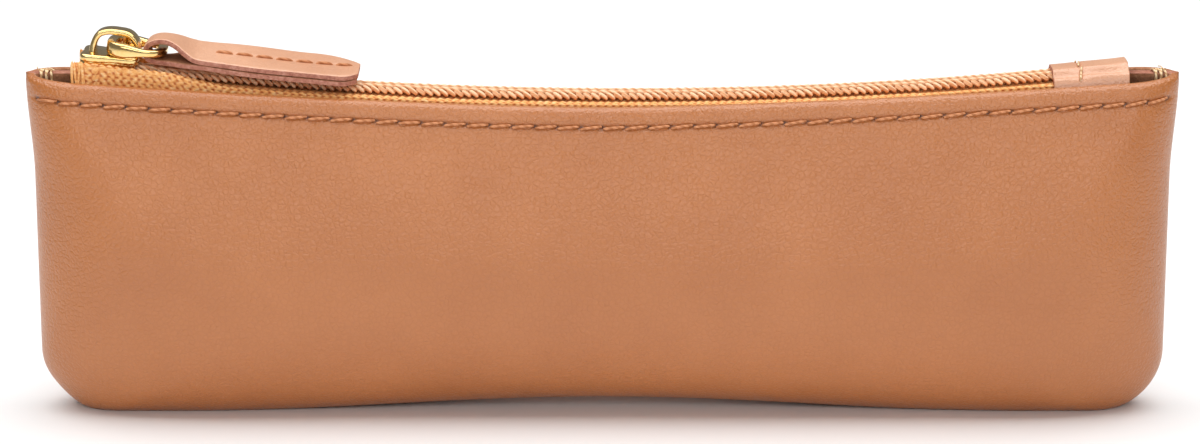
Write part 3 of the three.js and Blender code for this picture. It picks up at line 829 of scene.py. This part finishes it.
def fray_shape(side, left, right):
    """Loose warp threads down the cut end of a tape."""
    rng = np.random.default_rng(7)
    shape = Shape()
    for x in np.arange(left, right, 0.42):
        profile = tape_profile(x)[21:52:2]
        sway = 0.25 * np.sin(np.linspace(0, 3, len(profile)) + rng.uniform(0, 6))
        lift = 0.1 + 0.16 * rng.random()
        points = np.column_stack([x + sway, side * (profile[:, 0] + lift), profile[:, 1] + lift])
        add_tube(shape, points, 0.24 * taper(len(points), 0.15), 7, up=(1, 0, 0))
    return shape


def first_turn(side):
    """Where a half's first coil turn is; the back half meshes half a pitch further on."""
    return COIL_START + (COIL_PITCH / 2 if side > 0 else 0)


def coil_shape(side, left, right):
    """The nylon coil: flattened turns that reach past the middle to mesh with the other half."""
    x = np.arange(left, right + COIL_PITCH / 32, COIL_PITCH / 16)
    angle = (x - first_turn(side)) / COIL_PITCH * 2 * math.pi
    middle = (COIL_OUTER - 0.5) / 2
    width = (COIL_OUTER + 0.5) / 2 - 0.26
    y = middle + width * np.cos(angle)
    z = zip_path(x) + COIL_HEIGHT / 2 + 0.06 + (COIL_HEIGHT / 2 - 0.26) * np.sin(angle)
    shape = Shape()
    add_tube(shape, np.stack([x, side * y, z], axis=1), 0.26, 7, up=(1, 0, 0))
    return shape


def chain_shape(side, left, right):
    """A slanted stitch over the outside of each coil turn, and the smooth cord that tops the coil."""
    shape = Shape()
    start = first_turn(side)
    first = math.ceil((left - start) / COIL_PITCH)
    after_last = math.ceil((right - start) / COIL_PITCH)
    share = np.linspace(0, 1, 9)
    for turn in range(first, after_last):
        x = start + turn * COIL_PITCH + share * 1.5 - 0.12
        y = lerp(1.45, 2.12, share)
        z = zip_path(x) + lerp(COIL_HEIGHT + 0.02, 0.5, share) + 0.12 * np.sin(share * math.pi)
        add_tube(shape, np.stack([x, side * y, z], axis=1), 0.36 * taper(9, 0.45), 8, up=(1, 0, 0))
    x = np.linspace(left, right, int((right - left) / COIL_PITCH) * 6)
    beat = 0.05 * np.cos(2 * math.pi * x / COIL_PITCH)
    y = np.full(len(x), side * 0.92)
    z = zip_path(x) + COIL_HEIGHT + 0.12 + beat
    add_tube(shape, np.stack([x, y, z], axis=1), 0.33, 9)
    return shape


def cord_shape(side, left, right):
    """The filler cord down the middle of a coil."""
    x = np.linspace(left, right, 60)
    y = np.full(len(x), side * 0.8)
    shape = Shape()
    add_tube(shape, np.stack([x, y, zip_path(x) + 0.7], axis=1), 0.25, 8)
    return shape


def make_zip():
    """Each length of the zip is two pieces, split at OPEN_FROM: the run before it, and the length after it
    that would stay shut at its far end.
    """
    parts = [
        ("tape", tape_shape, ZIP_LEFT, ZIP_RIGHT, TAPE_CLOTH, "zip_tape"),
        ("coil", coil_shape, COIL_START, COIL_END, COIL, "coil_nylon"),
        ("coil_stitch", chain_shape, COIL_START, TAB_INSIDE, CHAIN, "zip_thread"),
        ("core_cord", cord_shape, COIL_START, COIL_END, TAPE_CLOTH, "zip_tape"),
    ]
    for word, side in SIDES:
        loose_ends = fray_shape(side, ZIP_LEFT - 0.2, ZIP_LEFT + 1.6)
        fray = solid(f"{word}_tape_fray", loose_ends, [TAPE_CLOTH], None)
        open_from_closed(fray, side, False)
        for part, build, left, right, material, slot in parts:
            lengths = (("run", left, OPEN_FROM, False), ("shut", OPEN_FROM, right, True))
            for length, begin, finish, is_end in lengths:
                shape = build(side, begin, finish)
                name = f"{word}_{part}_{length}"
                piece = solid(name, shape, [material], None, f"{word}_{part}")
                open_from_closed(piece, side, is_end)


# ---------- slider, ring and pull ----------

LEAN = math.asin((SLIDER_X - ZIP_CENTRE_X) / ZIP_RADIUS)


def from_slider(points):
    """Points in the slider's own frame (along, across, up), moved to their place on the zip's arc."""
    points = np.asarray(points, float)
    c, s = math.cos(LEAN), math.sin(LEAN)
    along, across, up = points[..., 0], points[..., 1], points[..., 2]
    x = SLIDER_X + along * c - up * s
    z = float(zip_path(SLIDER_X)) + along * s + up * c
    return np.stack([x, across, z], axis=-1)


def rounded_slab(shape, outline, low, high, bevel):
    """A plate with rounded edges, from a convex outline of (along, across) points."""
    outline = np.asarray(outline, float)
    centre = outline.mean(axis=0)
    rings = []
    for angle in np.linspace(-math.pi / 2, math.pi / 2, 10):
        inset = bevel * (1 - math.cos(angle))
        middle = low + bevel if angle < 0 else high - bevel
        away = outline - centre
        reach = np.linalg.norm(away, axis=1, keepdims=True)
        ring = centre + away * (1 - inset / reach)
        rings.append(np.column_stack([ring, np.full(len(ring), middle + bevel * math.sin(angle))]))
    shape.add_rings(from_slider(np.array(rings)))


PLATE_OUTLINE = [
    (4.6, 0), (4.55, 2.2), (4.0, 3.35), (2.6, 3.62), (0.5, 3.75), (-1.5, 4.1),
    (-3.2, 4.3), (-4.5, 4.1), (-4.95, 3.2), (-5.0, 1.8), (-4.9, 0),
]
WALL_OUTLINE = [(4.1, 2.75), (4.1, 3.4), (0.5, 3.72), (-3.2, 4.25), (-4.7, 4.0), (-4.7, 3.2), (-1.0, 2.95)]
POST_OUTLINE = [(-2.8, 0), (-3.4, 0.8), (-4.5, 0.8), (-4.7, 0), (-4.5, -0.8), (-3.4, -0.8)]
BRIDGE_LINE = [
    (-3.3, 2.9), (-3.15, 4.5), (-2.5, 6.05), (-1.1, 6.75), (0.8, 6.85),
    (2.5, 6.6), (3.7, 5.5), (4.15, 4.1), (4.2, 2.9),
]


def slider_outline(margin=0.0):
    """The slider's top plate seen from above, drawn in by margin."""
    upper = resample(PLATE_OUTLINE, 40)
    both = np.concatenate([upper, (upper * [1, -1])[::-1][1:-1]])
    centre = np.array([-0.2, 0])
    away = both - centre
    return centre + away * (1 - margin / np.linalg.norm(away, axis=1, keepdims=True))


def make_slider():
    """Top plate, sole, two walls and the post between them, as one piece."""
    shape = Shape()
    rounded_slab(shape, slider_outline(), 1.9, PLATE_TOP, 0.4)
    rounded_slab(shape, slider_outline(0.1), -1.75, -0.85, 0.35)
    for way in (-1, 1):
        rounded_slab(shape, [(a, way * b) for a, b in WALL_OUTLINE], 0.32, 2.4, 0.2)
    rounded_slab(shape, POST_OUTLINE, -1.2, 2.2, 0.1)
    solid("slider_shell", shape, [BRASS], "slider", "slider_body")


def make_bridge():
    """The arch over the ring's bar: a flat band with rounded edges, wider at its feet."""
    line = resample(BRIDGE_LINE, 60)
    normal, _ = line_normals(line)
    turn = np.linspace(0, 2 * math.pi, 28, endpoint=False)
    rings = []
    for i, (point, out) in enumerate(zip(line, normal)):
        foot = 1 + 0.18 * abs(2 * i / (len(line) - 1) - 1) ** 3
        across = BRIDGE_WIDTH / 2 * foot * rounded_wave(np.cos(turn), 0.35)
        lift = 0.52 * rounded_wave(np.sin(turn), 0.6)
        along = point[0] + out[0] * lift
        up = point[1] + out[1] * lift
        rings.append(np.stack([along, across, up], axis=1))
    shape = Shape()
    shape.add_rings(from_slider(np.array(rings)))
    solid("slider_arch", shape, [BRASS], "slider", "slider_bridge")


def make_ring():
    """A flat pointed oval whose arms are taller than its end bars."""
    turn = np.linspace(0, 2 * math.pi, 96, endpoint=False)
    c, s = np.cos(turn), np.sin(turn)
    centre = (RING_TIP + RING_BACK) / 2
    half_length = (RING_TIP - RING_BACK) / 2
    along = centre + half_length * rounded_wave(c, 2 / 3)
    across = RING_HALF_WIDTH * rounded_wave(s, 2 / 3)
    half_height = lerp(1.2, 0.62, smoothstep(along, 1.6, 6.0))
    section = np.linspace(0, 2 * math.pi, 20, endpoint=False)
    out = 0.84 * rounded_wave(np.cos(section), 0.55)
    up = rounded_wave(np.sin(section), 0.55)
    outwards = np.stack([c, s], axis=1)
    rings = np.empty((len(turn), len(section), 3))
    rings[..., 0] = along[:, None] + outwards[:, :1] * out
    rings[..., 1] = across[:, None] + outwards[:, 1:] * out
    rings[..., 2] = RING_HEIGHT + half_height[:, None] * up
    shape = Shape()
    shape.add(from_slider(rings), [])
    count, sides = rings.shape[:2]
    for i in range(count):
        after = ((i + 1) % count - i) * sides
        for k in range(sides):
            a = i * sides + k
            b = i * sides + (k + 1) % sides
            shape.add_face((a, b, b + after, a + after), 0)
    solid("ring", shape, [BRASS], "ring", "pull_ring")


# the strap's middle line, as (along, up) in the slider's frame
STRAP_UNDER = [
    (40.4, 4.03), (39.6, 4.01), (37.5, 3.92), (30, 3.72), (20, 3.8), (14.5, 3.85), (11.5, 3.3),
]
STRAP_LOOP = [(9, 2.97), (7.2, 2.97), (6, 3.4), (5.55, 4.5), (5.95, 5.6), (7.2, 6.3), (8.8, 6.45)]
STRAP_OVER = [
    (10.5, 6.1), (12.5, 5.25), (14.5, 4.77), (20, 4.73), (30, 4.65), (37.5, 4.84),
    (39.6, 4.93), (40.6, 4.95),
]
STRAP_STITCHES = 16.6 + 3.3 * np.arange(8)


def strap_halves(along):
    """Reach of the strap to its near and far side. Its far corner is cut back further than its near one."""
    neck = lerp(STRAP_NECK, STRAP_WIDTH - 0.6, smoothstep(along, 7.5, 14))
    half = (neck + 0.6 * smoothstep(along, 15, 28)) / 2
    near = half - 3.0 * np.clip((along - STRAP_END + 3.6) / 3.6, 0, 1) ** 2.2
    far = half - 4.8 * np.clip((along - STRAP_END + 8.5) / 8.5, 0, 1) ** 2
    return near, far


def strap_drop(along, across):
    return across * math.tan(STRAP_ROLL) * smoothstep(along, 9, 15)


def make_pull():
    """One strap of leather folded round the ring's tip, with raw edges and a stitched groove."""
    line = resample(STRAP_UNDER + STRAP_LOOP + STRAP_OVER, 260)
    normal, _ = line_normals(line)
    across_share = np.linspace(-1, 1, 33)
    near, far = strap_halves(line[:, 0])
    rings = []
    for i, point in enumerate(line):
        across = across_share * np.where(across_share < 0, near[i], far[i])
        crown = 0.06 * np.cos(across_share * math.pi / 2)
        on_top = i > 180
        sewn = smoothstep(point[0], 15.5, 17) * smoothstep(-point[0], -39.5, -38)
        groove = -0.13 * np.exp(-(across / 0.55) ** 2) * sewn if on_top else 0
        edge = np.clip((np.abs(across_share) - 0.93) / 0.07, 0, 1) ** 2
        half_thick = STRAP / 2 - 0.1 * edge
        wave = 0.07 * np.sin(point[0] * 0.33 + 0.6) * across_share
        upper = half_thick + crown + groove
        lower = -half_thick - 0.5 * crown
        faces = []
        for lift in (upper, lower):
            along = point[0] + normal[i, 0] * lift
            up = point[1] + normal[i, 1] * lift + wave
            faces.append(np.stack([along, across, up], axis=1))
        ring = np.concatenate([faces[0], faces[1][::-1]])
        ring[:, 2] += strap_drop(point[0], ring[:, 1])
        rings.append(ring)
    shape = leather_strip(from_slider(np.array(rings)))
    piece = solid("pull_strap", shape, [TRIM, EDGE, FLESH], "pull", "pull_tab")
    bevel = piece.modifiers.new("soft_edges", "BEVEL")
    bevel.width = 0.12 * MM
    bevel.segments = 2
    bevel.limit_method = "ANGLE"
    bevel.angle_limit = math.radians(50)


def strap_top(along):
    over = np.array(STRAP_OVER)
    return np.interp(along, over[:, 0], over[:, 1]) + STRAP / 2 + 0.05


def make_pull_stitches():
    """A row of stitches down the strap, the first of them sewn twice."""
    shape = Shape()
    share = np.linspace(0, 1, 13)
    spans = list(zip(STRAP_STITCHES[:-1], STRAP_STITCHES[1:]))
    for number, (left, right) in enumerate(spans):
        rows = (0.0, 0.42) if number == 0 else (0.0,)
        for offset in rows:
            along = lerp(left + 0.15, right - 0.15, share)
            across = 0.1 * (share - 0.5) - offset
            arch = 0.2 * np.sin(share * math.pi) ** 0.6
            dive = 0.35 * np.abs(2 * share - 1) ** 6
            up = strap_top(along) - 0.1 + arch - dive
            points = np.stack([along, across, up], axis=1)
            add_tube(shape, from_slider(points), 0.24 * taper(13, 0.2), 10)
    solid("pull_thread", shape, [THREAD], "pull", "pull_tab_stitch")


# ---------- end tab and tacks ----------

END_TAB_LEFT = 73.9
END_TAB_RIGHT = 86.2
END_TAB_LEATHER = 0.9
END_TAB_STITCH = 78.4


def end_tab_top(x):
    """Upper face of the end tab at one x: over the chain, down beside it and into the hems."""
    path = float(zip_path(x))
    chain = path + COIL_HEIGHT + 0.1 + END_TAB_LEATHER
    side = path + 0.35 + END_TAB_LEATHER
    hem = float(hem_top(x))
    half = [
        (0, chain), (1.6, chain - 0.03), (2.6, chain - 0.22), (3.5, side), (4.6, side - 0.3),
        (5.2, hem - 0.1), (5.35, hem - 1.6),
    ]
    left = [(-y, z) for y, z in half[:0:-1]]
    return resample(left + half, 61)


def make_end_tab():
    xs = np.linspace(END_TAB_LEFT, END_TAB_RIGHT, 60)
    rings = []
    for x in xs:
        top = end_tab_top(x)
        wrinkle = 0.09 * np.sin(top[:, 0] * 3.1 + x * 0.8) * np.clip(np.abs(top[:, 0]) - 2, 0, 1)
        groove = -0.22 * math.exp(-((x - END_TAB_STITCH) / 0.4) ** 2)
        upper = top + np.stack([np.zeros(len(top)), wrinkle + groove], axis=1)
        lower = top * [0.985, 1] - [0, END_TAB_LEATHER]
        ring = np.concatenate([upper, lower[::-1]])
        rings.append(np.column_stack([np.full(len(ring), x), ring]))
    shape = leather_strip(np.array(rings))
    solid("end_patch", shape, [TRIM, EDGE, FLESH], "case", "end_tab")


def make_end_thread():
    """Three stitches across the end tab."""
    thread = Shape()
    top = end_tab_top(END_TAB_STITCH)
    for low, high in ((8, 23), (23, 38), (38, 53)):
        part = top[low:high]
        share = np.linspace(0, 1, len(part))
        lift = 0.02 + 0.16 * np.sin(share * math.pi) ** 0.6
        lean = (share - 0.5) * 0.5
        points = np.column_stack([END_TAB_STITCH + lean, part[:, 0], part[:, 1] + lift])
        add_tube(thread, points, 0.17 * taper(len(part), 0.2), 10, up=(1, 0, 0))
    solid("end_thread", thread, [PALE_THREAD], "case", "end_tab_stitch")


def make_tacks():
    """Turns of pale thread over both seam allowances, with loose ends."""
    rng = np.random.default_rng(11)
    half = HALF_SEAM_GAP + LEATHER + 0.3
    for word, end in (("left", -1), ("right", 1)):
        shape = Shape()
        for turn in range(5):
            x = end * (HALF_LENGTH - 3.2 + 0.42 * turn)
            top = END_HEIGHT + 0.15
            way = 1 if turn % 2 else -1
            lean = 0.3 * way
            points = [
                (x - lean, -half, top - 1.6),
                (x - lean * 0.6, -half, top - 0.2),
                (x, 0, top + 0.25),
                (x + lean * 0.6, half, top - 0.2),
                (x + lean, half, top - 1.6),
            ]
            add_tube(shape, resample(points, 24), 0.2, 8, up=(1, 0, 0))
        for _ in range(3):
            x = end * (HALF_LENGTH - 2.4 + rng.uniform(-1, 1))
            y = rng.uniform(-1.2, 1.2)
            drift = rng.uniform(-1, 1, 3)
            top = END_HEIGHT + 0.2
            middle = (x + drift[0] * 0.8, y + drift[1] * 0.8, top + 0.5)
            tip_x = x + drift[0] * 1.6 - end * 0.5
            tip = (tip_x, y + drift[1] * 1.5, top + 0.5 + drift[2] * 0.3)
            points = [(x, y, top), middle, tip]
            add_tube(shape, resample(points, 14), 0.09, 6, up=(0, 1, 0))
        solid(f"{word}_tack", shape, [PALE_THREAD], "case", f"{word}_seam_tack")


def dress_frame():
    """The closing seam's thread is a frame piece, hidden inside the case; it only needs its material."""
    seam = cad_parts["seam_stitch"]
    seam.data.materials.clear()
    seam.data.materials.append(THREAD)


# ---------- studio ----------

def make_floor():
    floor_mesh = bpy.data.meshes.new("floor")
    floor_mesh.from_pydata([(-4, -3, 0), (4, -3, 0), (4, 5, 0), (-4, 5, 0)], [], [(0, 1, 2, 3)])
    floor = bpy.data.objects.new("floor", floor_mesh)
    bpy.context.scene.collection.objects.link(floor)
    look = Look("pale_floor", 0.7, specular=0.2)
    look.color(look.ramp(look.noise(2, 2), [(0.0, (0.90, 0.90, 0.90)), (1.0, (0.93, 0.93, 0.93))]))
    floor_mesh.materials.append(look.material)


def make_studio():
    make_floor()
    world = bpy.data.worlds.new("studio")
    world.use_nodes = True
    background = world.node_tree.nodes["Background"]
    background.inputs["Color"].default_value = (1, 1, 1, 1)
    background.inputs["Strength"].default_value = 0.2
    bpy.context.scene.world = world
    add_light("overhead", (0.0, 0.1, 1.0), (0, 0, 0.03), 1.8, 1.2, 18.5)
    add_light("front", (0.0, -1.2, 0.58), (0, 0, 0.04), 1.6, 0.4, 6.5)


def add_light(name, place, aim, width, height, power):
    light = bpy.data.lights.new(name, "AREA")
    light.shape = "RECTANGLE"
    light.size = width
    light.size_y = height
    light.energy = power
    lamp = bpy.data.objects.new(name, light)
    lamp.location = place
    point_at(lamp, aim)
    bpy.context.scene.collection.objects.link(lamp)


def point_at(thing, aim):
    direction = Vector(aim) - Vector(thing.location)
    thing.rotation_euler = direction.to_track_quat("-Z", "Y").to_euler()


def make_camera():
    target = (-0.0004, 0, 0.0315)
    distance = 0.6
    elevation = math.radians(14)
    camera = bpy.data.cameras.new("camera")
    camera.lens = 108.1
    camera.clip_start = 0.01
    viewer = bpy.data.objects.new("camera", camera)
    height = target[2] + distance * math.sin(elevation)
    viewer.location = (target[0], -distance * math.cos(elevation), height)
    point_at(viewer, target)
    bpy.context.scene.collection.objects.link(viewer)
    bpy.context.scene.camera = viewer
    bpy.context.scene.view_settings.view_transform = "Standard"


make_camera()
make_panels()
make_hem_stitches()
make_zip()
make_slider()
make_bridge()
make_ring()
make_pull()
make_pull_stitches()
make_end_tab()
make_end_thread()
make_tacks()
dress_frame()
make_studio()
